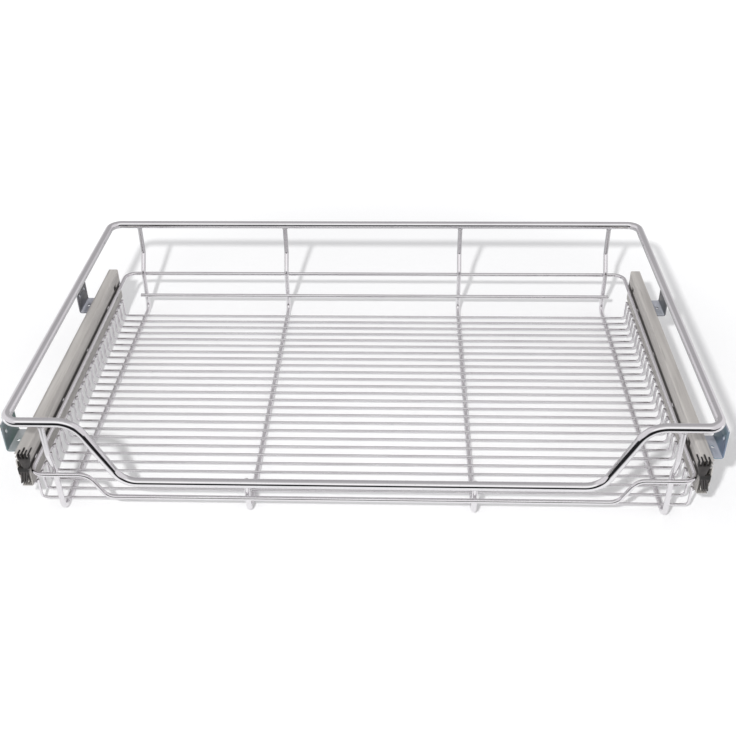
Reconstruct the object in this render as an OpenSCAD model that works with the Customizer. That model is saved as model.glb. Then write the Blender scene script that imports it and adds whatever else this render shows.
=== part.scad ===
// Pull-out wire basket for a kitchen base cabinet. It runs on two side-mounted ball slides, each
// held off the cabinet side by two Z-shaped brackets.
// Millimetres. +Z is up, -Y is the front, and the origin is on the floor plane under the middle.

/* [Cabinet] */
// Clear width between the cabinet sides, over the bracket plates
cabinet_w = 764; // [600:1:900]
// Gap between the rim and each cabinet side
rim_gap = 12; // [8:0.5:20]

/* [Rim] */
// Outer depth of the rim, front to back
rim_d = 465; // [440:1:520]
// Height of the rim's top above the underside of the basket
basket_h = 134; // [125:1:160]
// Diameter of the rim rod
rim_rod = 10; // [7:0.5:12]
// Plan radius of the rim's corners, on the rod's centre line
rim_corner_r = 15; // [10:1:24]
// How far the middle of the front drops below its ends
front_drop = 79; // [60:1:84]
// Length of the high part at each end of the front, from the rim's outer side
front_shoulder = 60; // [54:1:90]
// Slope of the steps down to the low part of the front
step_angle = 63; // [50:1:75]
// Bend radius of those steps, on the centre line
step_bend_r = 28; // [14:1:32]

/* [Mid ring] */
// Diameter of the ring's wire
ring_wire = 5; // [4:0.5:6]
// Plan radius of the ring's corners
ring_corner_r = 15; // [10:1:20]
// How far the middle of the ring's front drops
ring_drop = 30; // [24:1:34]
// Length of the high part at each end of the ring's front
ring_shoulder = 56; // [50:1:80]
// Slope of the ring's steps
ring_step_angle = 60; // [40:1:65]
// Bend radius of the ring's steps
ring_step_r = 15; // [10:1:18]

/* [Frame wires] */
// Diameter of the four frame wires
frame_wire = 6; // [5:0.5:7]
// Distance of each outer frame wire from the rim's outer side
outer_frame_inset = 43.5; // [38:0.5:50]
// Distance of each inner frame wire from the middle
inner_frame_x = 122; // [80:1:180]
// How far the frame wires kink inwards at the back
rear_kink = 16; // [12:0.5:18]
// Depth below the rim's centre where the kink starts
kink_start = 43; // [36:0.5:46]
// Height of the slanted part of the kink
kink_h = 24; // [20:0.5:25]
// Bend radius of the kinks
kink_bend_r = 8; // [5:0.5:9]
// Bend radius at the bottom of the frame wires
frame_bend_r = 12; // [8:0.5:14]
// How far the front stubs of the inner frame wires end below the centre of the low rim
stub_drop = 2; // [0:0.5:3]

/* [Rear rail] */
// Diameter of the straight wire across the back
rear_rail_wire = 5; // [4:0.5:6]
// Height of that wire above the floor plane
rear_rail_h = 27.5; // [24:0.5:32]
// How far its ends stand past the outer frame wires
rear_rail_end = 7; // [4:0.5:10]

/* [Bottom wires] */
// Diameter of the bottom wires
bottom_wire = 3; // [2.5:0.1:3.5]
// Spacing of the bottom wires
bottom_pitch = 15.5; // [12:0.1:20]
// Distance from the front of the frame to the first bottom wire
bottom_front = 14.5; // [13:0.5:18]
// Least distance from the back of the frame to the last bottom wire
bottom_rear = 22; // [18:0.5:28]
// Bend radius of the bottom wires
bottom_bend_r = 5; // [3:0.5:7]
// Diameter of the side rails that tie the wire ends together
side_rail_wire = 4; // [3:0.5:5]
// Distance of the side rails outside the slides' inner faces
side_rail_out = 3; // [2:0.5:6]
// Gap between the slides and the wire ends below them
slide_gap = 1.5; // [1:0.1:3]
// How far the wire ends stand above the side rails' centres
end_above_rail = 2.5; // [2:0.1:3]
// How far the side rails run past the first and last bottom wire
side_rail_end = 4; // [2:0.5:8]

/* [Slides] */
// Length of each slide
slide_l = 405; // [360:1:420]
// Height of a slide
slide_h = 45; // [44:0.5:48]
// Thickness of a slide
slide_t = 12.7; // [12.4:0.1:14]
// Depth of the slides' middle below the rim's centre
slide_drop = 72; // [70:0.5:73]
// Distance of the slides' front ends behind the front of the rim
slide_setback = 15; // [13:0.5:20]
// Sheet thickness of the three members
sheet = 1.2; // [1:0.05:1.3]
// Outside bend radius of the members
member_bend_r = 1.8; // [1.4:0.1:2]
// How far the basket and middle members' lips stay clear of the brackets
lip_setback = 0.7; // [0.5:0.1:1]
// Distance of the middle member's web from the slide's basket side
middle_web = 3.6; // [3.5:0.1:3.9]
// Distance of the cabinet member's lips from the slide's basket side
cabinet_lip = 6.4; // [6.2:0.1:6.8]

/* [Balls and cages] */
// Diameter of the outer balls
outer_ball = 4.4; // [4:0.1:4.6]
// Diameter of the inner balls
inner_ball = 3.6; // [3:0.1:3.8]
// Depth of the raceways in the sheet
race_depth = 0.35; // [0.2:0.05:0.45]
// Running clearance between a ball and its raceway
ball_fit = 0.05; // [0.02:0.01:0.1]
// Distance of the outer balls from the slide's basket side
outer_race = 7.6; // [7:0.1:8]
// Distance of the inner balls from the slide's basket side
inner_race = 8.7; // [8.5:0.1:9]
// Balls in each row
row_balls = 8; // [4:1:10]
// Length of a cage
cage_l = 120; // [90:1:130]
// Distance from a cage's end to its first ball
cage_margin = 10; // [6:0.5:15]
// Sheet thickness of the cages
cage_sheet = 0.6; // [0.5:0.05:0.7]
// Distance of the outer cage's web from the slide's basket side
outer_cage_web = 2.6; // [2.5:0.05:2.8]
// Distance of the inner cage's web from the slide's basket side
inner_cage_web = 5.3; // [5.25:0.05:5.5]
// Distance of the cages' lips from the slide's cabinet side
cage_lip = 1.7; // [1.5:0.1:2]
// Clearance around a ball in its cage
cage_fit = 0.1; // [0.05:0.01:0.2]

/* [Brackets] */
// Sheet thickness of the brackets
bracket_sheet = 1.5; // [1.2:0.1:2]
// Distance from the slide to the cabinet side
bracket_reach = 14.3; // [12:0.1:18]
// Length of a bracket along the slide
bracket_l = 38; // [34:1:50]
// Height of the bracket's plate on the cabinet side
plate_h = 36; // [34:1:40]
// Height of the bracket's leg on the slide
leg_h = 27; // [24:1:28]
// Outside bend radius of the brackets
bracket_bend_r = 3; // [2.2:0.1:4]
// Depth of the shelf between plate and leg below the top of the slide
shelf_drop = 8.5; // [7:0.5:12]
// Distance of the front bracket behind the slide's front end
front_bracket_y = 15; // [10:1:60]
// Distance of the rear bracket before the slide's rear end
rear_bracket_y = 64; // [20:1:100]
// Diameter of the screw holes in the plate
screw_hole = 4.8; // [4:0.1:5.5]
// Spacing of the screw holes
screw_spacing = 20; // [16:1:24]
// Height of the screw holes above the shelf
screw_h = 20; // [16:1:24]
// Diameter of the hole in the shelf
shelf_hole = 4; // [3:0.1:5]
// Diameter of the rivets that hold the brackets to the slide
rivet_d = 4; // [3:0.1:5]
// Spacing of the rivets
rivet_spacing = 20; // [14:1:26]
// Diameter of the rivet heads
rivet_head = 7.5; // [6:0.1:8]
// Thickness of the rivet heads
rivet_head_t = 1; // [0.8:0.05:1.1]
// Clearance around a rivet
rivet_fit = 0.05; // [0.02:0.01:0.1]

/* [Front bumpers] */
// Thickness of a bumper ahead of the slide
bumper_t = 4; // [3:0.5:6]
// Gap between a bumper and the ends of the slide's members
bumper_gap = 0.4; // [0.3:0.05:0.6]
// Width of the bumper's head
head_w = 13; // [11:0.5:15]
// Height of the head
head_h = 11; // [9:0.5:12]
// Depth of the head's top below the top of the slide
head_drop = 4.5; // [3:0.5:5]
// How far the head stands past the slide on the basket's side
head_over = 5; // [3:0.5:6]
// How much the head narrows on each side towards its lower end
head_taper = 2.5; // [1:0.5:3.5]
// Width of the waist below the head
waist_w = 6; // [4:0.5:7]
// Height of the waist
waist_h = 2; // [1.5:0.5:3]
// Width of the block below the waist
block_w = 11; // [9:0.5:12]
// Height of the block
block_h = 6; // [5:0.5:7]
// Width of the ear at the block's outer side
ear_w = 2.5; // [1.5:0.5:3]
// How far the ear hangs below the block
ear_h = 2.5; // [1:0.5:4]
// Number of fins below the block
fins = 3; // [2:1:4]
// Width of a fin
fin_w = 1.8; // [1.2:0.1:2]
// Length of the fins
fin_h = 15; // [10:0.5:16]
// How far the fins lean outwards
fin_lean = 3; // [0:0.5:3.5]
// Distance of the first fin from the block's inner side
fin_inset = 1.5; // [0.5:0.5:2.5]
// Number of fingers on top of the head
fingers = 4; // [2:1:5]
// Width of a finger
finger_w = 1.6; // [1:0.1:2]
// Length of a finger over the slide
finger_l = 9; // [6:0.5:12]
// How much shorter every second finger is
finger_step = 4; // [0:0.5:5]
// Thickness of a finger
finger_t = 1.2; // [0.8:0.1:2]
// Length of the plug between the basket and middle members
plug_l = 14; // [8:0.5:20]
// Gap between the plug and the middle member
plug_fit = 0.4; // [0.3:0.05:0.6]

/* [Levers and guides] */
// Distance of the windows for the lever behind the slide's front end
lever_window_y = 50; // [40:1:70]
// Distance of the windows for the rear guide before the slide's rear end
guide_window_y = 25; // [20:1:30]
// Length of a window
window_l = 10; // [6:0.5:14]
// Distance of a window's near edge from the slide's middle line
window_near = 4; // [3.5:0.5:5]
// Distance of a window's far edge from the slide's middle line
window_far = 10.5; // [8:0.5:13]
// Thickness of a release lever
lever_t = 1.6; // [1.2:0.1:1.8]
// Distance from the lever's pivot to the middle of its windows
lever_arm = 22; // [18:0.5:30]
// Length of the lever's tail behind the pivot
lever_tail = 18; // [10:0.5:24]
// Height of the lever's head
lever_head_h = 22; // [18:0.5:24]
// Height of the lever's tail
lever_tail_h = 9; // [7:0.5:12]
// Diameter of the lever's pivot pin
lever_pin = 5; // [3:0.1:6]
// Running clearance of the pivot pin
lever_fit = 0.05; // [0.02:0.01:0.1]
// Gap between the lever and the basket member's web
lever_gap = 0.2; // [0.1:0.05:0.4]
// Length of a rear guide
guide_l = 20; // [14:0.5:24]
// Gap between a rear guide and the middle member
guide_fit = 0.4; // [0.3:0.05:0.6]

/* [Hidden] */
$fn = 48;
chrome = [0.80, 0.81, 0.83];
zinc = [0.70, 0.69, 0.66];
passivated = [0.42, 0.52, 0.58];
black = [0.12, 0.11, 0.11];
bright = [0.88, 0.88, 0.90];
lap = 5;
through = 1;

// rim
rim_w = cabinet_w - 2 * rim_gap;
rim_x = rim_w / 2 - rim_rod / 2;
rim_y = rim_d / 2 - rim_rod / 2;
rim_z = basket_h - rim_rod / 2;
low_rim_z = rim_z - front_drop;
step_x = rim_w / 2 - front_shoulder;

// slides
slide_x = cabinet_w / 2 - bracket_reach;
slide_in_x = slide_x - slide_t;
slide_z = rim_z - slide_drop;
slide_front_y = -rim_d / 2 + slide_setback;
slide_rear_y = slide_front_y + slide_l;
slide_mid_y = (slide_front_y + slide_rear_y) / 2;

// frame wires
frame_z = frame_wire / 2;
outer_frame_x = rim_w / 2 - outer_frame_inset;
frame_front_y = -rim_y + (rim_rod + frame_wire) / 2;
frame_rear_y = rim_y - rear_kink;
kink_top_z = rim_z - kink_start;

// mid ring, welded outside the frame wires and inside the slides
ring_x = slide_in_x - ring_wire / 2;
ring_front_y = frame_front_y - (frame_wire + ring_wire) / 2;
ring_rear_y = frame_rear_y + (frame_wire + ring_wire) / 2;
ring_z = slide_z;
ring_step_x = slide_in_x - ring_shoulder;

// bottom wires and side rails
bottom_z = frame_wire + bottom_wire / 2;
end_z = slide_z - slide_h / 2 - slide_gap;
side_rail_x = slide_in_x + side_rail_out;
side_rail_z = end_z - end_above_rail;
end_x = side_rail_x - (side_rail_wire + bottom_wire) / 2;
first_bottom_y = frame_front_y + bottom_front;
bottom_span = frame_rear_y - bottom_rear - first_bottom_y;
bottom_count = floor(bottom_span / bottom_pitch) + 1;
last_bottom_y = first_bottom_y + (bottom_count - 1) * bottom_pitch;

// ball rows and members, as half heights from the slide's middle line
outer_reach = outer_ball / 2 + ball_fit - race_depth;
inner_reach = inner_ball / 2 + ball_fit - race_depth;
outer_row = slide_h / 2 - sheet - outer_reach;
middle_half = outer_row - outer_reach;
inner_row = middle_half - sheet - inner_reach;
cabinet_half = inner_row - inner_reach;
plug_half = middle_half - member_bend_r;
lever_pivot_y = slide_front_y + lever_window_y + lever_arm;

// brackets and bumpers
shelf_z = slide_h / 2 - shelf_drop;
head_top = slide_h / 2 - head_drop;

// ---- wires ----

// A slope within a fifth of a degree of the given one, whose sine and cosine square up to one
// in six digits, so that the pieces of a bent wire meet without a step
function digits(v) = round(v * 1000000) / 1000000;
function misfit(a) = abs(pow(digits(cos(a)), 2) + pow(digits(sin(a)), 2) - 1);
function slope(a) =
    let (near = [for (k = [-200 : 200]) a + k / 1000],
         least = min([for (b = near) misfit(b)]))
    [for (b = near) if (misfit(b) == least) b][0];

// Legs of a wire are [distance to the next corner, turn at that corner, bend radius there]
function setback(leg) = leg[2] * tan(abs(leg[1]) / 2);

// A round wire along +X in the XY plane, from leg i on. Each piece starts in the frame where the
// last one ends.
module wire(legs, d, i = 0) {
    length = legs[i][0] - setback(legs[i]) - (i == 0 ? 0 : setback(legs[i - 1]));
    angle = legs[i][1];
    offset = sign(angle) * legs[i][2];
    rotate([0, 90, 0]) cylinder(h = length, d = d);
    if (i < len(legs) - 1)
        translate([length, offset]) {
            bend(angle, legs[i][2], d);
            rotate(angle) translate([0, -offset]) wire(legs, d, i + 1);
        }
}

// The bent part of a corner about the origin, between the faces where it starts and ends
module bend(angle, r, d) {
    reach = r + d;
    intersection() {
        rotate_extrude() translate([r, 0]) circle(d = d);
        translate([0, -reach, -d]) cube([reach, 2 * reach, 2 * d]);
        rotate(angle) translate([-reach, -reach, -d]) cube([reach, 2 * reach, 2 * d]);
    }
}

// A closed loop whose front steps down between its two ends
module stepped_loop(x, front, rear, z, drop, start, angle, step_r, corner_r, d) {
    a = slope(angle);
    high = start - step_r * tan(a / 2);
    low = high - drop / tan(a);
    join = (start + x - corner_r) / 2;
    translate([join, front, z])
        wire([[x - join, 90, corner_r], [rear - front, 90, corner_r], [2 * x, 90, corner_r],
              [rear - front, 90, corner_r], [x - join, 0, 0]], d);
    for (side = [0, 1])
        mirror([side, 0, 0]) translate([join, front, z]) rotate([90, 0, 0]) rotate(180)
            wire([[join - high, a, step_r], [drop / sin(a), -a, step_r], [low + lap, 0, 0]], d);
}

module top_rim() {
    color(chrome)
        stepped_loop(rim_x, -rim_y, rim_y, rim_z, front_drop, step_x, step_angle,
                     step_bend_r, rim_corner_r, rim_rod);
}

module mid_ring() {
    color(chrome)
        stepped_loop(ring_x, ring_front_y, ring_rear_y, ring_z, ring_drop, ring_step_x,
                     ring_step_angle, ring_step_r, ring_corner_r, ring_wire);
}

// A frame wire in the YZ plane, drawn from its front end at the given height with the given legs
// ahead of its bottom
module frame_path(side_x, y, z, front_legs) {
    a = slope(atan2(rear_kink, kink_h));
    slant = rear_kink / sin(a);
    low = kink_top_z - rear_kink / tan(a) - frame_z;
    translate([side_x, y, z]) rotate([90, 0, 90]) rotate(-90)
        wire(concat(front_legs, [
            [frame_rear_y - frame_front_y, 90, frame_bend_r], [low, -a, kink_bend_r],
            [slant, a, kink_bend_r], [kink_start, 0, 0]
        ]), frame_wire);
}

// Room for the rim rod, so that the wire's end is coped onto it
module rim_rod_cut(y) {
    translate([0, y, rim_z]) rotate([0, 90, 0])
        cylinder(h = 4 * frame_wire, d = rim_rod, center = true);
}

module outer_frame(side) {
    kink = frame_front_y + rim_y;
    a = slope(atan2(kink, kink_h));
    color(chrome) difference() {
        frame_path(side * outer_frame_x, -rim_y, rim_z, [
            [kink_start, a, kink_bend_r], [kink / sin(a), -a, kink_bend_r],
            [kink_top_z - kink / tan(a) - frame_z, 90, frame_bend_r]
        ]);
        translate([side * outer_frame_x, 0, 0]) rim_rod_cut(-rim_y);
        translate([side * outer_frame_x, 0, 0]) rim_rod_cut(rim_y);
    }
}

module inner_frame(side) {
    top = low_rim_z - stub_drop;
    color(chrome) difference() {
        frame_path(side * inner_frame_x, frame_front_y, top, [[top - frame_z, 90, frame_bend_r]]);
        translate([side * inner_frame_x, 0, 0]) rim_rod_cut(rim_y);
    }
}

module rear_rail() {
    color(chrome)
        translate([0, frame_rear_y - (frame_wire + rear_rail_wire) / 2, rear_rail_h])
            rotate([0, 90, 0])
                cylinder(h = 2 * (outer_frame_x + rear_rail_end), d = rear_rail_wire, center = true);
}

module bottom_wires() {
    rise = end_z - bottom_z;
    color(chrome)
        for (i = [0 : bottom_count - 1])
            translate([-end_x, first_bottom_y + i * bottom_pitch, end_z])
                rotate([90, 0, 0]) rotate(-90)
                    wire([[rise, 90, bottom_bend_r], [2 * end_x, 90, bottom_bend_r], [rise, 0, 0]],
                         bottom_wire);
}

module side_rail(side) {
    color(chrome)
        translate([side * side_rail_x, first_bottom_y - side_rail_end, side_rail_z])
            rotate([-90, 0, 0])
                cylinder(h = last_bottom_y - first_bottom_y + 2 * side_rail_end, d = side_rail_wire);
}

// ---- slides ----

// Puts children drawn with x from the slide's cabinet side towards the basket, and z from the
// slide's middle line
module from_cabinet(side) {
    translate([side * slide_x, 0, slide_z]) {
        if (side > 0)
            mirror([1, 0, 0]) children();
        else
            children();
    }
}

// The same with x from the slide's basket side towards the cabinet
module from_basket(side) {
    translate([side * slide_in_x, 0, slide_z]) {
        if (side > 0)
            children();
        else
            mirror([1, 0, 0]) children();
    }
}

// Extrudes a section drawn in XZ from y0 to y1
module between_y(y0, y1) {
    translate([0, y1, 0]) rotate([90, 0, 0]) linear_extrude(y1 - y0) children();
}

module rounded_box(x0, x1, half, r) {
    translate([x0 + r, -half]) square([x1 - x0 - 2 * r, 2 * half]);
    translate([x0, -half + r]) square([x1 - x0, 2 * (half - r)]);
    for (x = [x0 + r, x1 - r])
        for (y = [-half + r, half - r])
            translate([x, y]) circle(r = r);
}

// Section of a channel with its web at x0 and its lips ending at x1
module channel(x0, x1, half, t, r) {
    difference() {
        intersection() {
            rounded_box(x0, x1 + 2 * r, half, r);
            translate([x0, -half]) square([x1 - x0, 2 * half]);
        }
        rounded_box(x0 + t, x1 + 2 * r, half - t, r - t);
    }
}

// Raceway grooves for one pair of ball rows
module races(s, row, ball) {
    for (v = [-row, row])
        translate([s, v]) circle(r = ball / 2 + ball_fit);
}

module rivet_holes(d) {
    for (y = rivet_ys())
        translate([0, y, 0]) rotate([0, 90, 0])
            cylinder(h = 4 * bracket_sheet, d = d, center = true);
}

function bracket_mids() = [
    slide_front_y + front_bracket_y + bracket_l / 2,
    slide_rear_y - rear_bracket_y - bracket_l / 2
];
function rivet_ys() = [
    for (y = bracket_mids()) for (k = [-1, 1]) y + k * rivet_spacing / 2
];

module cabinet_member(side) {
    color(zinc) from_cabinet(side) difference() {
        between_y(slide_front_y, slide_rear_y) difference() {
            channel(0, slide_t - cabinet_lip, cabinet_half, sheet, member_bend_r);
            races(slide_t - inner_race, inner_row, inner_ball);
        }
        rivet_holes(rivet_d + 2 * rivet_fit);
    }
}

module middle_member(side) {
    color(zinc) from_basket(side)
        between_y(slide_front_y, slide_rear_y) difference() {
            channel(middle_web, slide_t - lip_setback, middle_half, sheet, member_bend_r);
            races(outer_race, outer_row, outer_ball);
            races(inner_race, inner_row, inner_ball);
        }
}

module windows(y) {
    for (k = [-1, 1])
        translate([-through, y - window_l / 2,
                   k * (window_near + window_far) / 2 - (window_far - window_near) / 2])
            cube([sheet + 2 * through, window_l, window_far - window_near]);
}

module basket_member(side) {
    color(zinc) from_basket(side) difference() {
        between_y(slide_front_y, slide_rear_y) difference() {
            channel(0, slide_t - lip_setback, slide_h / 2, sheet, member_bend_r);
            races(outer_race, outer_row, outer_ball);
        }
        windows(slide_front_y + lever_window_y);
        windows(slide_rear_y - guide_window_y);
        translate([-through, lever_pivot_y, 0]) rotate([0, 90, 0])
            cylinder(h = sheet + 2 * through, d = lever_pin + 2 * lever_fit);
    }
}

function ball_ys() = [
    for (i = [0 : row_balls - 1])
        slide_mid_y - cage_l / 2 + cage_margin
            + i * (cage_l - 2 * cage_margin) / (row_balls - 1)
];

module balls(side, s, row, d) {
    color(bright) from_basket(side)
        for (y = ball_ys())
            for (v = [-row, row])
                translate([s, y, v]) sphere(d = d);
}

module cage(side, web, s, row, d) {
    color(bright) from_basket(side) difference() {
        between_y(slide_mid_y - cage_l / 2, slide_mid_y + cage_l / 2)
            channel(web, slide_t - cage_lip, row + cage_sheet / 2, cage_sheet,
                    cage_sheet + ball_fit);
        for (y = ball_ys())
            translate([s, y, 0])
                cylinder(h = slide_h, d = d + 2 * cage_fit, center = true);
    }
}

// ---- brackets ----

// Z-shaped section: plate on the cabinet side, shelf, and leg down the back of the slide
module bracket_section() {
    t = bracket_sheet;
    r = bracket_bend_r;
    difference() {
        union() {
            translate([-bracket_reach, shelf_z - t]) square([t, plate_h]);
            translate([-bracket_reach, shelf_z - t]) square([bracket_reach, t]);
            translate([-t, shelf_z - leg_h]) square([t, leg_h]);
            translate([-bracket_reach + t, shelf_z]) square(r - t);
            translate([-r, shelf_z - r]) square(r - t);
        }
        translate([-bracket_reach, shelf_z - t]) outside_corner(r, 1, 1);
        translate([0, shelf_z]) outside_corner(r, -1, -1);
        translate([-bracket_reach + r, shelf_z - t + r]) circle(r = r - t);
        translate([-r, shelf_z - r]) circle(r = r - t);
    }
}

// What a bend takes off an outside corner at the origin
module outside_corner(r, x_way, y_way) {
    difference() {
        translate([x_way > 0 ? -through : -r, y_way > 0 ? -through : -r])
            square(r + through);
        translate([x_way * r, y_way * r]) circle(r = r);
    }
}

module bracket(side, mid_y) {
    color(passivated) from_cabinet(side) difference() {
        between_y(mid_y - bracket_l / 2, mid_y + bracket_l / 2) bracket_section();
        for (k = [-1, 1])
            translate([-bracket_reach - through, mid_y + k * screw_spacing / 2, shelf_z + screw_h])
                rotate([0, 90, 0])
                    cylinder(h = bracket_sheet + 2 * through, d = screw_hole);
        translate([-bracket_reach / 2, mid_y, shelf_z - bracket_sheet - through])
            cylinder(h = bracket_sheet + 2 * through, d = shelf_hole);
        rivet_holes(rivet_d + 2 * rivet_fit);
    }
}

module bracket_rivets(side) {
    color(zinc) from_cabinet(side)
        for (y = rivet_ys())
            translate([0, y, 0]) rotate([0, 90, 0]) {
                translate([0, 0, -bracket_sheet - rivet_head_t])
                    cylinder(h = rivet_head_t, d = rivet_head);
                translate([0, 0, -bracket_sheet])
                    cylinder(h = bracket_sheet + sheet, d = rivet_d);
                translate([0, 0, sheet])
                    cylinder(h = rivet_head_t, d = rivet_head);
            }
}

// ---- plastic parts ----

module front_bumper(side) {
    back = slide_front_y - bumper_gap;
    front = slide_front_y - bumper_t;
    color(black) from_basket(side) union() {
        between_y(front, back) bumper_outline();
        for (i = [0 : fingers - 1])
            translate([i * (head_w - finger_w) / (fingers - 1) - head_over, front, head_top])
                finger(back - front, finger_l - (i % 2) * finger_step);
        translate([sheet, back, -plug_half])
            cube([middle_web - plug_fit - sheet, plug_l + bumper_gap, 2 * plug_half]);
    }
}

// The bumper seen from the front: head, waist, block with an ear, and leaning fins
module bumper_outline() {
    head_low = head_top - head_h;
    waist_low = head_low - waist_h;
    block_low = waist_low - block_h;
    mid = head_w / 2 - head_over;
    polygon([
        [-head_over, head_top], [head_w - head_over, head_top],
        [head_w - head_over - head_taper, head_low], [mid + waist_w / 2, head_low],
        [mid + waist_w / 2, waist_low], [block_w, waist_low], [block_w, block_low - ear_h],
        [block_w - ear_w, block_low - ear_h], [block_w - ear_w, block_low], [0, block_low],
        [0, waist_low], [mid - waist_w / 2, waist_low], [mid - waist_w / 2, head_low],
        [head_taper - head_over, head_low]
    ]);
    pitch = (block_w - fin_inset - fin_w) / fins;
    for (i = [0 : fins - 1])
        translate([fin_inset + i * pitch, block_low])
            polygon([[0, 0], [fin_w, 0], [fin_w + fin_lean, -fin_h], [fin_lean, -fin_h]]);
}

// One finger: it rises over the slide's front edge and runs back above its top
module finger(root, length) {
    rise = head_drop + bumper_gap;
    cube([finger_w, root, rise + finger_t]);
    translate([0, 0, rise])
        cube([finger_w, root + length, finger_t]);
}

module rear_guide(side) {
    color(black) from_basket(side)
        translate([sheet, slide_rear_y - guide_window_y - guide_l / 2, -plug_half])
            cube([middle_web - guide_fit - sheet, guide_l, 2 * plug_half]);
}

module release_lever(side) {
    color(black) from_basket(side) translate([sheet + lever_gap, lever_pivot_y, 0]) union() {
        translate([0, -lever_arm - window_l / 2 - lever_fit, -lever_head_h / 2])
            cube([lever_t, window_l + 2 * lever_fit, lever_head_h]);
        translate([0, -lever_arm, -lever_tail_h / 2])
            cube([lever_t, lever_arm + lever_tail, lever_tail_h]);
        translate([-sheet, 0, 0]) rotate([0, 90, 0])
            cylinder(h = sheet + lever_t, d = lever_pin);
    }
}

top_rim();
mid_ring();
rear_rail();
bottom_wires();
outer_frame(-1);  // left_outer_frame
inner_frame(-1);  // left_inner_frame
inner_frame(1);  // right_inner_frame
outer_frame(1);  // right_outer_frame
side_rail(-1);  // left_side_rail
side_rail(1);  // right_side_rail
cabinet_member(-1);  // left_cabinet_member
cabinet_member(1);  // right_cabinet_member
bracket(-1, bracket_mids()[0]);  // left_front_bracket
bracket(1, bracket_mids()[0]);  // right_front_bracket
bracket(-1, bracket_mids()[1]);  // left_rear_bracket
bracket(1, bracket_mids()[1]);  // right_rear_bracket
bracket_rivets(-1);  // left_bracket_rivets
bracket_rivets(1);  // right_bracket_rivets
cage(-1, outer_cage_web, outer_race, outer_row, outer_ball);  // left_outer_cage
cage(1, outer_cage_web, outer_race, outer_row, outer_ball);  // right_outer_cage
balls(-1, outer_race, outer_row, outer_ball);  // left_outer_balls
balls(1, outer_race, outer_row, outer_ball);  // right_outer_balls
middle_member(-1);  // left_middle_member
middle_member(1);  // right_middle_member
cage(-1, inner_cage_web, inner_race, inner_row, inner_ball);  // left_inner_cage
cage(1, inner_cage_web, inner_race, inner_row, inner_ball);  // right_inner_cage
balls(-1, inner_race, inner_row, inner_ball);  // left_inner_balls
balls(1, inner_race, inner_row, inner_ball);  // right_inner_balls
basket_member(-1);  // left_basket_member
basket_member(1);  // right_basket_member
front_bumper(-1);  // left_front_bumper
front_bumper(1);  // right_front_bumper
rear_guide(-1);  // left_rear_guide
rear_guide(1);  // right_rear_guide
release_lever(-1);  // left_release_lever
release_lever(1);  // right_release_lever
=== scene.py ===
import bpy
import bmesh
import math
import random
from mathutils import Matrix, Vector


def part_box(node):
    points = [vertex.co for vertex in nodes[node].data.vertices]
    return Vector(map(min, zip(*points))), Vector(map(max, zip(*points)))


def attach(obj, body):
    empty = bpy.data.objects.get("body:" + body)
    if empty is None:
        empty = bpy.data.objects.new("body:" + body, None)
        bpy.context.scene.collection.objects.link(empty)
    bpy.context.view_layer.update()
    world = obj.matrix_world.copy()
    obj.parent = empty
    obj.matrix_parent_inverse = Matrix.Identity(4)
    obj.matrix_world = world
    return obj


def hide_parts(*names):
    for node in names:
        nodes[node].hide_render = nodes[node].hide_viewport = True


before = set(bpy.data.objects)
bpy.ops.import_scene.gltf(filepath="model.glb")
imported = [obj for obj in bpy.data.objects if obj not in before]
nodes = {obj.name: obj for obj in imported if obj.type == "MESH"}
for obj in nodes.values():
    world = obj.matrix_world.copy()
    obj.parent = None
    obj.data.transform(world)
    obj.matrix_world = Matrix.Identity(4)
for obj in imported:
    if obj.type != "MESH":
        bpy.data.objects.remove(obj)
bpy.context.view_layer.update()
print("frame loaded:", len(nodes), "nodes")

sides = ("left", "right")
mm = 0.001


# helpers for node trees: feed links a socket, or sets a constant on it

def newMaterial(name):
    mat = bpy.data.materials.new(name)
    mat.use_nodes = True
    tree = mat.node_tree
    return mat, tree, tree.nodes["Principled BSDF"]


def add(tree, kind, **values):
    node = tree.nodes.new(kind)
    for key, value in values.items():
        setattr(node, key, value)
    return node


def feed(tree, socket, value):
    if isinstance(value, bpy.types.NodeSocket):
        tree.links.new(value, socket)
    else:
        socket.default_value = value


def calc(tree, operation, *values):
    node = add(tree, "ShaderNodeMath", operation=operation)
    for socket, value in zip(node.inputs, values):
        feed(tree, socket, value)
    return node.outputs["Value"]


def span(tree, value, source=(0, 1), target=(0, 1), kind="LINEAR"):
    node = add(tree, "ShaderNodeMapRange", interpolation_type=kind)
    for name, limit in zip(("From Min", "From Max", "To Min", "To Max"), (*source, *target)):
        node.inputs[name].default_value = limit
    feed(tree, node.inputs["Value"], value)
    return node.outputs["Result"]


def mix(tree, factor, first, second, blend="MIX"):
    node = add(tree, "ShaderNodeMix", data_type="RGBA", blend_type=blend)
    for name, value in (("Factor", factor), ("A", first), ("B", second)):
        feed(tree, node.inputs[name], value)
    return node.outputs["Result"]


def axis(tree, vector, name):
    node = add(tree, "ShaderNodeSeparateXYZ")
    tree.links.new(vector, node.inputs["Vector"])
    return node.outputs[name]


def objectCoords(tree, stretch=(1, 1, 1)):
    coords = add(tree, "ShaderNodeTexCoord")
    mapping = add(tree, "ShaderNodeMapping")
    mapping.inputs["Scale"].default_value = stretch
    tree.links.new(coords.outputs["Object"], mapping.inputs["Vector"])
    return mapping.outputs["Vector"]


def noise(tree, vector, scale, detail, roughness=0.5):
    node = add(tree, "ShaderNodeTexNoise")
    values = {"Vector": vector, "Scale": scale, "Detail": detail, "Roughness": roughness}
    for name, value in values.items():
        feed(tree, node.inputs[name], value)
    return node.outputs["Fac"]


def greys(stops):
    return [(place, (value, value, value)) for place, value in stops]


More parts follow.
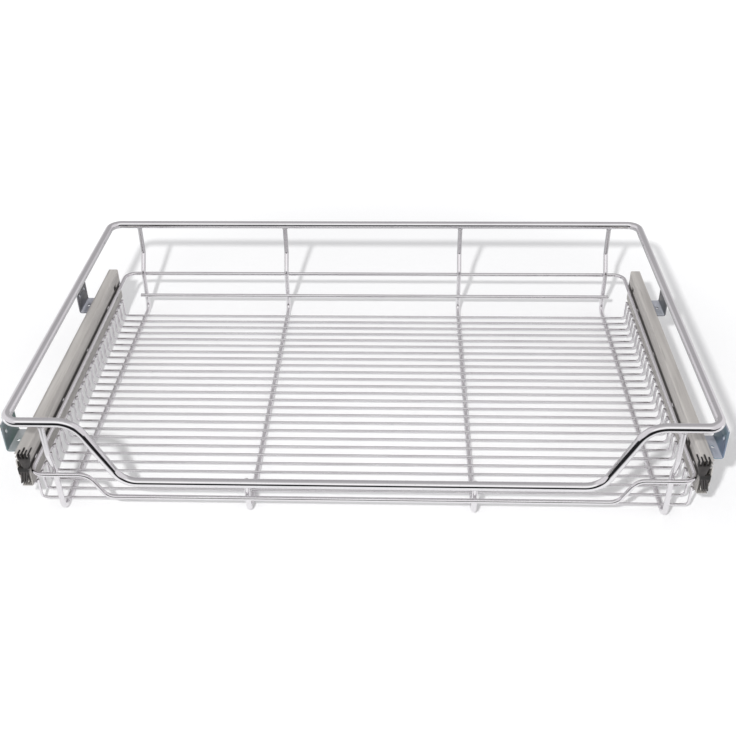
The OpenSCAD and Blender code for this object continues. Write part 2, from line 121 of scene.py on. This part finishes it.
def ramp(tree, fac, stops):
    node = add(tree, "ShaderNodeValToRGB")
    elements = node.color_ramp.elements
    while len(elements) < len(stops):
        elements.new(0.5)
    for element, (place, color) in zip(elements, stops):
        element.position = place
        element.color = (*color, 1)
    tree.links.new(fac, node.inputs["Fac"])
    return node.outputs["Color"]


# how fine each layer of noise is, and where in its noise a speck begins and is full
layers = {
    "tone": {"detail": 4}, "speck": {"detail": 2}, "rough": {"detail": 5, "roughness": 0.6},
    "grain": {"detail": 3},
}
plasticLayers = {"rough": {"detail": 4}, "grain": {"detail": 2}}
speckRange = (0.60, 0.72)


def newSurface(settings, fine):
    mat, tree, bsdf = newMaterial(settings["name"])
    coords = objectCoords(tree, settings.get("stretch", (1, 1, 1)))
    rough = noise(tree, coords, settings["roughScale"], **fine["rough"])
    feed(tree, bsdf.inputs["Roughness"], span(tree, rough, target=settings["roughness"]))
    bump = add(tree, "ShaderNodeBump")
    bump.inputs["Distance"].default_value = settings["grainDepth"]
    bump.inputs["Strength"].default_value = settings["grainStrength"]
    grain = noise(tree, coords, settings["grainScale"], **fine["grain"])
    tree.links.new(grain, bump.inputs["Height"])
    tree.links.new(bump.outputs["Normal"], bsdf.inputs["Normal"])
    tone = noise(tree, coords, settings["toneScale"], **layers["tone"])
    return mat, tree, bsdf, tone


def specked(tree, color, settings):  # small dull marks in the plating
    coords = objectCoords(tree, settings.get("stretch", (1, 1, 1)))
    speck = noise(tree, coords, settings["speckScale"], **layers["speck"])
    depths = greys(zip(speckRange, (1, 1 - settings["specks"])))
    return mix(tree, 1, color, ramp(tree, speck, depths), "MULTIPLY")


# painted shade: multiplies a colour by grey levels along the part's height
def shadeByHeight(tree, color, settings):
    low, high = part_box(settings["heightOf"])
    height = span(tree, axis(tree, objectCoords(tree), "Z"), (low.z, high.z))
    return mix(tree, 1, color, ramp(tree, height, greys(settings["shadeLevels"])), "MULTIPLY")


def metal(settings):
    mat, tree, bsdf, tone = newSurface(settings, layers)
    color = ramp(tree, tone, settings["tones"])
    if "specks" in settings:
        color = specked(tree, color, settings)
    # painted shade by height, where the recipe lists levels
    if "shadeLevels" in settings:
        color = shadeByHeight(tree, color, settings)
    feed(tree, bsdf.inputs["Base Color"], color)
    feed(tree, bsdf.inputs["Metallic"], settings["metallic"])
    return mat


# passivated tint, with painted light and shade by which way a face turns
def passivatedFacingLit(settings):
    mat, tree, bsdf, tone = newSurface(settings, layers)
    facing = add(tree, "ShaderNodeTexCoord").outputs["Normal"]
    # painted light and shade: faces turned up take the pale shelf tones, upright faces the dark
    # plate tones
    upFacingShare = calc(tree, "ABSOLUTE", axis(tree, facing, "Z"))
    color = mix(tree, upFacingShare, ramp(tree, tone, settings["plate"]),
                ramp(tree, tone, settings["shelf"]))
    feed(tree, bsdf.inputs["Base Color"], color)
    feed(tree, bsdf.inputs["Metallic"], settings["metallic"])
    return mat


def plastic(settings):
    mat, tree, bsdf, tone = newSurface(settings, plasticLayers)
    color = ramp(tree, tone, settings["tones"])
    # painted shade by height, where the recipe lists levels
    if "shadeLevels" in settings:
        color = shadeByHeight(tree, color, settings)
    feed(tree, bsdf.inputs["Base Color"], color)
    feed(tree, bsdf.inputs["Specular IOR Level"], settings["shine"])
    return mat


chromeRod = {
    "name": "chromeRod", "metallic": 1.0,
    "toneScale": 9, "tones": [(0.3, (0.76, 0.745, 0.765)), (0.7, (0.82, 0.81, 0.825))],
    "speckScale": 700, "specks": 0.12,
    "roughScale": 60, "roughness": (0.045, 0.10),
    "grainScale": 400, "grainDepth": 0.00002, "grainStrength": 0.12,
}
chromeWire = {
    "name": "chromeWire", "metallic": 1.0,
    "toneScale": 14, "tones": [(0.3, (0.74, 0.72, 0.74)), (0.7, (0.82, 0.81, 0.825))],
    "speckScale": 800, "specks": 0.15,
    "roughScale": 80, "roughness": (0.10, 0.20),
    "grainScale": 500, "grainDepth": 0.00002, "grainStrength": 0.15,
}
weldSpot = {
    "name": "weldSpot", "metallic": 1.0,
    "toneScale": 400, "tones": [(0.3, (0.56, 0.55, 0.56)), (0.7, (0.76, 0.75, 0.76))],
    "roughScale": 500, "roughness": (0.16, 0.34),
    "grainScale": 900, "grainDepth": 0.00008, "grainStrength": 0.5,
}
slideZinc = {  # stretched along the slide, as rolled strip is
    "name": "slideZinc", "metallic": 0.35, "stretch": (1, 0.05, 1),
    "toneScale": 150, "tones": [(0.3, (0.55, 0.525, 0.495)), (0.7, (0.64, 0.615, 0.58))],
    "speckScale": 420, "specks": 0.10,
    "roughScale": 160, "roughness": (0.34, 0.5),
    "grainScale": 700, "grainDepth": 0.00003, "grainStrength": 0.3,
}
faceZinc = {  # the basket members, with painted shade by height: a dark line for the ring's contact shadow and a darker lower half
    **slideZinc, "name": "faceZinc",
    "tones": [(0.3, (0.50, 0.475, 0.45)), (0.7, (0.66, 0.635, 0.60))],
    "speckScale": 260, "specks": 0.2,
    "heightOf": "left_basket_member",
    # painted shade: a thin near-black band for the contact shadow along the ring, darker below
    # it, lightest at the top
    "shadeLevels": [(0.0, 0.70), (0.50, 0.68), (0.545, 0.18), (0.585, 0.20), (0.63, 0.86),
               (0.80, 0.98), (1.0, 1.0)],
}
rivetSteel = {
    "name": "rivetSteel", "metallic": 1.0,
    "toneScale": 200, "tones": [(0.3, (0.48, 0.47, 0.46)), (0.7, (0.60, 0.59, 0.58))],
    "roughScale": 300, "roughness": (0.25, 0.4),
    "grainScale": 900, "grainDepth": 0.00003, "grainStrength": 0.3,
}
cageSteel = {
    "name": "cageSteel", "metallic": 1.0, "stretch": (1, 0.1, 1),
    "toneScale": 160, "tones": [(0.3, (0.58, 0.58, 0.57)), (0.7, (0.70, 0.70, 0.69))],
    "roughScale": 220, "roughness": (0.22, 0.36),
    "grainScale": 700, "grainDepth": 0.00002, "grainStrength": 0.25,
}
ballSteel = {
    "name": "ballSteel", "metallic": 1.0,
    "toneScale": 300, "tones": [(0.3, (0.74, 0.74, 0.75)), (0.7, (0.82, 0.82, 0.83))],
    "roughScale": 500, "roughness": (0.04, 0.1),
    "grainScale": 900, "grainDepth": 0.00001, "grainStrength": 0.1,
}
bracketZinc = {  # passivated tint, with painted light and shade by facing: dark on the upright plates, pale on the shelves
    "name": "bracketZinc", "metallic": 0.5, "toneScale": 38,
    "plate": [(0.3, (0.14, 0.235, 0.27)), (0.5, (0.17, 0.245, 0.33)),
              (0.7, (0.22, 0.27, 0.385))],
    "shelf": [(0.3, (0.56, 0.59, 0.64)), (0.7, (0.67, 0.68, 0.76))],
    "roughScale": 90, "roughness": (0.26, 0.42),
    "grainScale": 500, "grainDepth": 0.00003, "grainStrength": 0.3,
}
greenBracket = {
    **bracketZinc, "name": "greenBracket",
    "plate": [(0.3, (0.15, 0.25, 0.215)), (0.5, (0.185, 0.255, 0.265)),
              (0.7, (0.24, 0.285, 0.305))],
    "shelf": [(0.3, (0.46, 0.49, 0.49)), (0.7, (0.55, 0.57, 0.58))],
}
dullBracket = {
    **bracketZinc, "name": "dullBracket",
    "plate": [(0.3, (0.13, 0.14, 0.155)), (0.5, (0.16, 0.16, 0.175)),
              (0.7, (0.20, 0.195, 0.21))],
}
blackPlastic = {
    "name": "blackPlastic",
    "toneScale": 200, "tones": [(0.3, (0.020, 0.018, 0.018)), (0.7, (0.040, 0.036, 0.035))],
    "roughScale": 250, "roughness": (0.30, 0.48), "shine": 0.38,
    "grainScale": 1500, "grainDepth": 0.00004, "grainStrength": 0.5,
}
bumperPlastic = {  # painted shade by height: the head left paler, near black at the waist
    **blackPlastic, "name": "bumperPlastic",
    "tones": [(0.3, (0.030, 0.026, 0.026)), (0.7, (0.055, 0.050, 0.048))],
    "heightOf": "left_front_bumper",
    # painted shade: darkened to a quarter across the waist and to about half at the top
    "shadeLevels": [(0.0, 1.0), (0.36, 1.0), (0.42, 0.25), (0.50, 0.25), (0.56, 0.8), (0.80, 0.9),
               (0.86, 0.5), (1.0, 0.4)],
}

recipes = (
    (metal, (chromeRod, chromeWire, weldSpot, slideZinc, faceZinc, rivetSteel, cageSteel,
             ballSteel)),
    (passivatedFacingLit, (bracketZinc, greenBracket, dullBracket)),
    (plastic, (blackPlastic, bumperPlastic)),
)
materials = {s["name"]: make(s) for make, group in recipes for s in group}

finishes = {"top_rim": "chromeRod", "mid_ring": "chromeWire", "rear_rail": "chromeWire",
            "bottom_wires": "chromeWire"}
sideFinishes = {
    "outer_frame": "chromeWire", "inner_frame": "chromeWire", "side_rail": "chromeWire",
    "cabinet_member": "slideZinc", "middle_member": "slideZinc", "basket_member": "faceZinc",
    "front_bracket": "bracketZinc", "rear_bracket": "dullBracket",
    "bracket_rivets": "rivetSteel", "outer_cage": "cageSteel", "inner_cage": "cageSteel",
    "outer_balls": "ballSteel", "inner_balls": "ballSteel", "front_bumper": "bumperPlastic",
    "rear_guide": "blackPlastic", "release_lever": "blackPlastic",
}
for side in sides:
    finishes.update({side + "_" + node: finish for node, finish in sideFinishes.items()})
finishes["left_front_bracket"] = "greenBracket"
for name, finish in finishes.items():
    mesh = nodes[name].data
    mesh.materials.clear()
    mesh.materials.append(materials[finish])
print("materials done:", len(materials))


def newPiece(name, bm, finish, body):
    mesh = bpy.data.meshes.new(name)
    bm.to_mesh(mesh)
    bm.free()
    for face in mesh.polygons:
        face.use_smooth = True
    mesh.materials.append(materials[finish])
    obj = bpy.data.objects.new(name, mesh)
    bpy.context.collection.objects.link(obj)
    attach(obj, body)
    return obj


# the moulded and bent parts have soft edges, widths in mm and angles in degrees
softParts = (
    {"node": "front_bumper", "width": 0.3, "slot": "plastic", "body": "basket"},
    {"node": "front_bracket", "width": 0.22, "slot": "bracket", "body": "cabinet_side"},
    {"node": "rear_bracket", "width": 0.22, "slot": "bracket", "body": "cabinet_side"},
)
softEdge = {"segments": 2, "sharp": 32, "merge": 0.03, "flat": 0.6, "speck": 0.001}


def softCopies(part):
    bm = bmesh.new()
    bm.from_mesh(nodes["left_" + part["node"]].data)
    bmesh.ops.remove_doubles(bm, verts=bm.verts, dist=softEdge["merge"] * mm)
    bmesh.ops.dissolve_limit(bm, angle_limit=math.radians(softEdge["flat"]), verts=bm.verts,
                             edges=bm.edges)
    sharp = math.radians(softEdge["sharp"])
    edges = [e for e in bm.edges if len(e.link_faces) == 2 and e.calc_face_angle() > sharp]
    bmesh.ops.bevel(bm, geom=edges, offset=part["width"] * mm, offset_type="OFFSET",
                    segments=softEdge["segments"], affect="EDGES", profile=0.5, material=-1,
                    clamp_overlap=False)
    bmesh.ops.dissolve_degenerate(bm, dist=softEdge["speck"] * mm, edges=bm.edges)
    bmesh.ops.remove_doubles(bm, verts=bm.verts, dist=softEdge["speck"] * mm)
    bmesh.ops.triangulate(bm, faces=bm.faces)
    other = bm.copy()  # the right one is the left one's mirror image
    bmesh.ops.scale(other, vec=(-1, 1, 1), verts=other.verts)
    bmesh.ops.reverse_faces(other, faces=other.faces)
    for side, shape in zip(sides, (bm, other)):
        name = side + "_" + part["node"]
        piece = newPiece(side + "Soft_" + part["node"], shape, finishes[name],
                         part["body"])
        piece.data.set_sharp_from_angle(angle=sharp)
        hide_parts(name)


for part in softParts:
    softCopies(part)
print("soft edges done")

# flattened beads where the wires are resistance-welded, in mm; a bead's numbers are half extents
welds = {
    "rows": 26, "floorBead": (3.4, 2.5, 1.3), "endBead": (1.2, 2.3, 2.8),
    "ringBead": (2.6, 1.3, 2.9), "railBead": (2.9, 1.2, 2.6),
    "rimBead": (3.9, 3.9, 1.5), "rimBelow": 0.4,
    "stubBead": (2.6, 1.3, 2.8), "stubBehind": 0.1, "stubAbove": 1.5,
    "slideBead": (0.9, 5.5, 3.1), "slideInside": 0.7, "slideYs": (-196, -92, 14, 118, 182),
    "wires": {"bottom_wires": 3, "mid_ring": 5, "rear_rail": 5, "top_rim": 10},
    "segments": 8, "rings": 5, "wobble": 0.12, "seed": 5,
}


def weldPlaces(w):
    half = {node: wire * mm / 2 for node, wire in w["wires"].items()}
    wiresLow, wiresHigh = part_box("bottom_wires")
    firstRow = wiresLow.y + half["bottom_wires"]
    pitch = (wiresHigh.y - half["bottom_wires"] - firstRow) / (w["rows"] - 1)
    endZ = wiresHigh.z - w["endBead"][2] * mm
    frames = [sum(corner.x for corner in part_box(node)) / 2 for node in (
        "left_outer_frame", "left_inner_frame", "right_inner_frame", "right_outer_frame")]
    ringLow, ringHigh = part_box("mid_ring")
    highZ = ringHigh.z - half["mid_ring"]
    lowZ = ringLow.z + half["mid_ring"]
    railMiddle = sum(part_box("rear_rail"), Vector()) / 2
    rimLow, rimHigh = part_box("top_rim")
    rimY = rimHigh.y - half["top_rim"]
    rimZ = rimHigh.z - 2 * half["top_rim"] - w["rimBelow"] * mm
    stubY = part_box("left_inner_frame")[0].y + w["stubBehind"] * mm
    stubZ = rimLow.z + w["stubAbove"] * mm
    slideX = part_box("right_basket_member")[0].x - w["slideInside"] * mm

    places = []
    for i in range(w["rows"]):
        y = firstRow + i * pitch
        places += [(x, y, wiresLow.z, w["floorBead"]) for x in frames]
        places += [(s * wiresHigh.x, y, endZ, w["endBead"]) for s in (-1, 1)]
    for x in frames:
        outer = x in (frames[0], frames[-1])
        places.append((x, ringLow.y + 2 * half["mid_ring"], highZ if outer else lowZ,
                       w["ringBead"]))
        places.append((x, ringHigh.y - 2 * half["mid_ring"], highZ, w["ringBead"]))
        places.append((x, railMiddle.y + half["rear_rail"], railMiddle.z, w["railBead"]))
        places.append((x, rimY, rimZ, w["rimBead"]))
        if outer:
            places.append((x, -rimY, rimZ, w["rimBead"]))
        else:
            places.append((x, stubY, stubZ, w["stubBead"]))
    for s in (-1, 1):
        places += [(s * slideX, y * mm, highZ, w["slideBead"]) for y in w["slideYs"]]
    return places


dice = random.Random(welds["seed"])
bm = bmesh.new()
for x, y, z, bead in weldPlaces(welds):
    size = [v * mm * (1 + dice.uniform(-1, 1) * welds["wobble"]) for v in bead]
    place = Matrix.Translation((x, y, z)) @ Matrix.Diagonal((*size, 1))
    bmesh.ops.create_uvsphere(bm, u_segments=welds["segments"], v_segments=welds["rings"],
                              radius=1, matrix=place)
weldSpots = newPiece("weldSpots", bm, "weldSpot", "basket")
print("weld spots done:", len(weldSpots.data.polygons), "faces")


# the camera that was fitted to the photo, angles in degrees
view = {"focalPixels": 994.87, "picture": 736, "sensor": 36, "near": 0.01,
        "place": (0.04628, -1.02438, 0.74314), "down": 34.29, "roll": -1.03, "turn": 2.55}
pitch, roll, yaw = (math.radians(view[k]) for k in ("down", "roll", "turn"))
turn = Matrix.Rotation(yaw, 3, "Z")
right = turn @ Vector((1, 0, 0))
ahead = turn @ Vector((0, math.cos(pitch), -math.sin(pitch)))
above = turn @ Vector((0, math.sin(pitch), math.cos(pitch)))
across = math.cos(roll) * right + math.sin(roll) * above
upward = -math.sin(roll) * right + math.cos(roll) * above
camera = bpy.data.cameras.new("camera")
camera.sensor_fit = "HORIZONTAL"
camera.sensor_width = view["sensor"]
camera.lens = view["sensor"] * view["focalPixels"] / view["picture"]
camera.clip_start = view["near"]
cameraObject = bpy.data.objects.new("camera", camera)
bpy.context.collection.objects.link(cameraObject)
place = Matrix((across, upward, -ahead)).transposed().to_4x4()
place.translation = Vector(view["place"])
cameraObject.matrix_world = place
bpy.context.scene.camera = cameraObject
print("camera done")


# the paper is lifted to white for the camera and in reflections, not on the object, and metal
# far from it sees the studio's dark end in front of the basket and its grey end behind
paper = {
    "size": 12, "toneScale": 3, "toneDetail": 2, "tones": [(0.3, 0.89), (0.7, 0.91)],
    "roughness": 0.8, "shine": 0.1,
    "glow": (0.09, 0.65), "glowFrom": (0.45, 1.1),
    "reach": (-1, 1), "dark": (0.02, 0.02, 0.022, 1), "darkFrom": (0.11, 0.17),
    "reflected": [(0.28, 0), (0.32, 0.84), (0.42, 0.86), (0.46, 0.66), (0.75, 0.54)],
}


def paperFloor():
    mat, tree, bsdf = newMaterial("paperFloor")
    coords = objectCoords(tree)
    tone = noise(tree, coords, paper["toneScale"], paper["toneDetail"])
    feed(tree, bsdf.inputs["Base Color"], ramp(tree, tone, greys(paper["tones"])))
    feed(tree, bsdf.inputs["Roughness"], paper["roughness"])
    feed(tree, bsdf.inputs["Specular IOR Level"], paper["shine"])
    path = add(tree, "ShaderNodeLightPath").outputs
    seen = calc(tree, "MAXIMUM", path["Is Camera Ray"], path["Is Glossy Ray"])
    away = add(tree, "ShaderNodeVectorMath", operation="LENGTH")
    tree.links.new(coords, away.inputs[0])
    rise = span(tree, away.outputs["Value"], paper["glowFrom"], paper["glow"], "SMOOTHSTEP")
    lift = add(tree, "ShaderNodeEmission")
    feed(tree, lift.inputs["Strength"], calc(tree, "MULTIPLY", seen, rise))
    lit = add(tree, "ShaderNodeAddShader")
    tree.links.new(bsdf.outputs["BSDF"], lit.inputs[0])
    tree.links.new(lift.outputs["Emission"], lit.inputs[1])
    along = span(tree, axis(tree, coords, "Y"), paper["reach"])
    hidden = calc(tree, "SUBTRACT", 1, ramp(tree, along, greys(paper["reflected"])))
    far = span(tree, path["Ray Length"], paper["darkFrom"], kind="SMOOTHSTEP")
    farGlossy = calc(tree, "MULTIPLY", far, path["Is Glossy Ray"])
    dark = add(tree, "ShaderNodeEmission")
    feed(tree, dark.inputs["Color"], paper["dark"])
    mixed = add(tree, "ShaderNodeMixShader")
    feed(tree, mixed.inputs["Fac"], calc(tree, "MULTIPLY", hidden, farGlossy))
    tree.links.new(lit.outputs["Shader"], mixed.inputs[1])
    tree.links.new(dark.outputs["Emission"], mixed.inputs[2])
    tree.links.new(mixed.outputs["Shader"], tree.nodes["Material Output"].inputs["Surface"])
    return mat


floorMesh = bpy.data.meshes.new("floor")
bm = bmesh.new()
bmesh.ops.create_grid(bm, x_segments=1, y_segments=1, size=paper["size"])
bm.to_mesh(floorMesh)
bm.free()
floorMesh.materials.append(paperFloor())
floor = bpy.data.objects.new("floor", floorMesh)
bpy.context.collection.objects.link(floor)
print("floor done")

# one small lamp left of and above the camera, without falloff, so shadows fall back and right
keyLight = {"energy": 26, "radius": 0.038, "place": (-0.25, -1.25, 1.1)}
light = bpy.data.lights.new("key", "POINT")
light.energy = keyLight["energy"]
light.shadow_soft_size = keyLight["radius"]
light.use_nodes = True
emission = light.node_tree.nodes["Emission"]
falloff = add(light.node_tree, "ShaderNodeLightFalloff")
falloff.inputs["Strength"].default_value = 1
light.node_tree.links.new(falloff.outputs["Constant"], emission.inputs["Strength"])
lightObject = bpy.data.objects.new("key", light)
lightObject.location = keyLight["place"]
lightObject.visible_glossy = False
bpy.context.collection.objects.link(lightObject)

studio = {
    "ambient": (0.62, 0.62, 0.63, 1), "background": (1, 1, 1, 1),
    # what metal sees, from the front horizon (0) over the top (0.5) to the back horizon (1)
    "arc": [(0.0, (0.012, 0.011, 0.012)), (0.095, (0.02, 0.02, 0.022)), (0.19, (1.2, 1.2, 1.2)),
            (0.29, (1.2, 1.2, 1.2)), (0.40, (0.72, 0.71, 0.72)), (0.54, (0.50, 0.49, 0.50)),
            (1.0, (0.46, 0.45, 0.46))],
    "sides": (0.84, 0.82, 0.84, 1), "sideRange": (0.33, 0.62),
}


def studioWorld():
    world = bpy.data.worlds.new("studio")
    world.use_nodes = True
    tree = world.node_tree
    ray = add(tree, "ShaderNodeTexCoord").outputs["Generated"]
    front = calc(tree, "MULTIPLY", axis(tree, ray, "Y"), -1)
    angle = calc(tree, "ARCTAN2", axis(tree, ray, "Z"), front)
    arc = ramp(tree, calc(tree, "DIVIDE", angle, math.pi), studio["arc"])
    aside = calc(tree, "ABSOLUTE", axis(tree, ray, "X"))
    sideShare = span(tree, aside, studio["sideRange"], kind="SMOOTHSTEP")
    path = add(tree, "ShaderNodeLightPath").outputs
    room = mix(tree, sideShare, arc, studio["sides"])
    lighting = mix(tree, path["Is Glossy Ray"], studio["ambient"], room)
    through = calc(tree, "MAXIMUM", path["Is Camera Ray"], path["Is Transmission Ray"])
    shown = mix(tree, through, lighting, studio["background"])
    feed(tree, tree.nodes["Background"].inputs["Color"], shown)
    return world


bpy.context.scene.world = studioWorld()
bpy.context.scene.view_settings.view_transform = "Standard"
print("light and world done")
